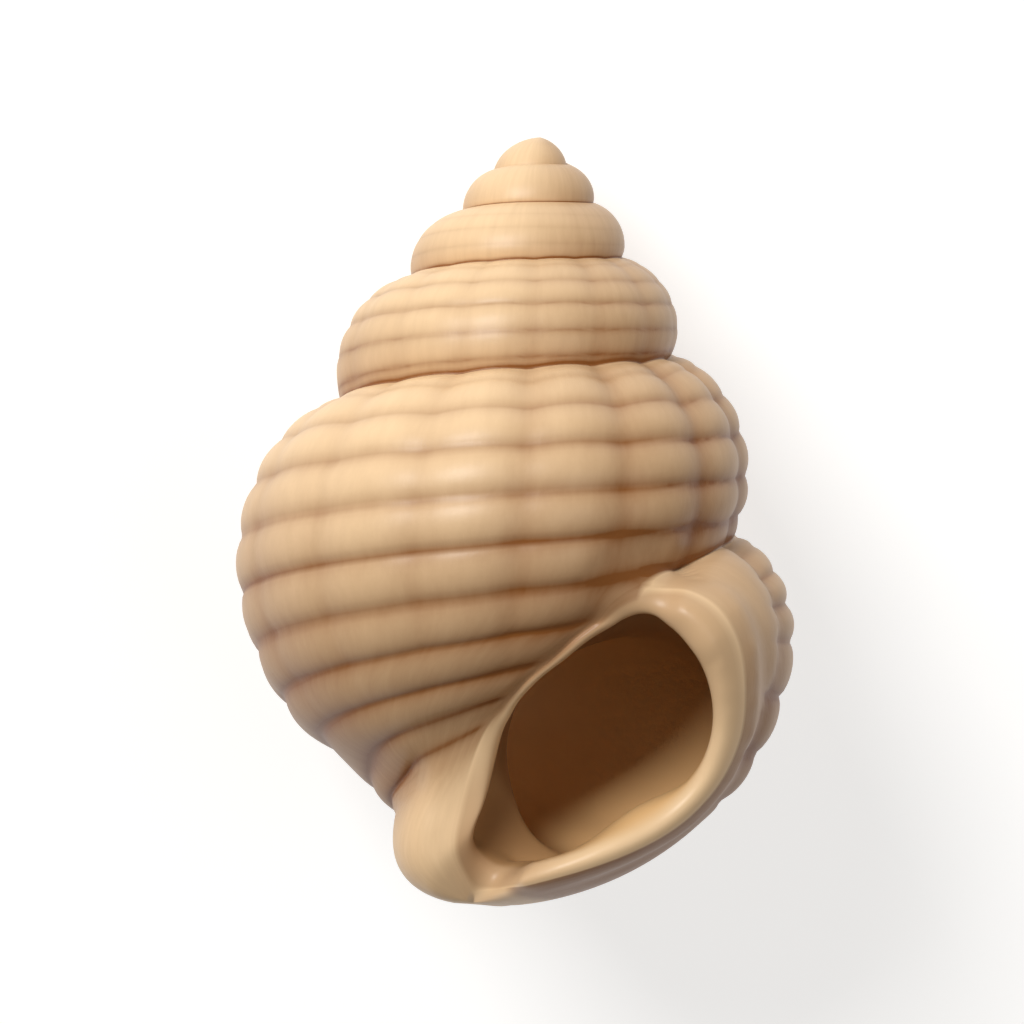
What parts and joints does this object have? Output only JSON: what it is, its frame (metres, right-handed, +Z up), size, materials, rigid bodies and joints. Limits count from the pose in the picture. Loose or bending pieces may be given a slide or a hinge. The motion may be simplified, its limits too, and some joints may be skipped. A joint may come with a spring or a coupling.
{
  "type": "whelk shell",
  "caption": "Thick-lipped spiral seashell with rounded cords, low ribs and a wide smooth opening, lying on its back with the opening up.",
  "frame": {"origin": "centre of the shell's footprint box on the ground, as it lies on its back", "axes": "+Z up, +Y towards the apex, +X towards the outer lip"},
  "size_m": [0.0614, 0.079, 0.0558],
  "materials": {
    "shell": "matte to satin aragonite, tan and cream, brown inside the opening"
  },
  "bodies": {
    "root": {"shell": "shell"}
  },
  "joints": []
}
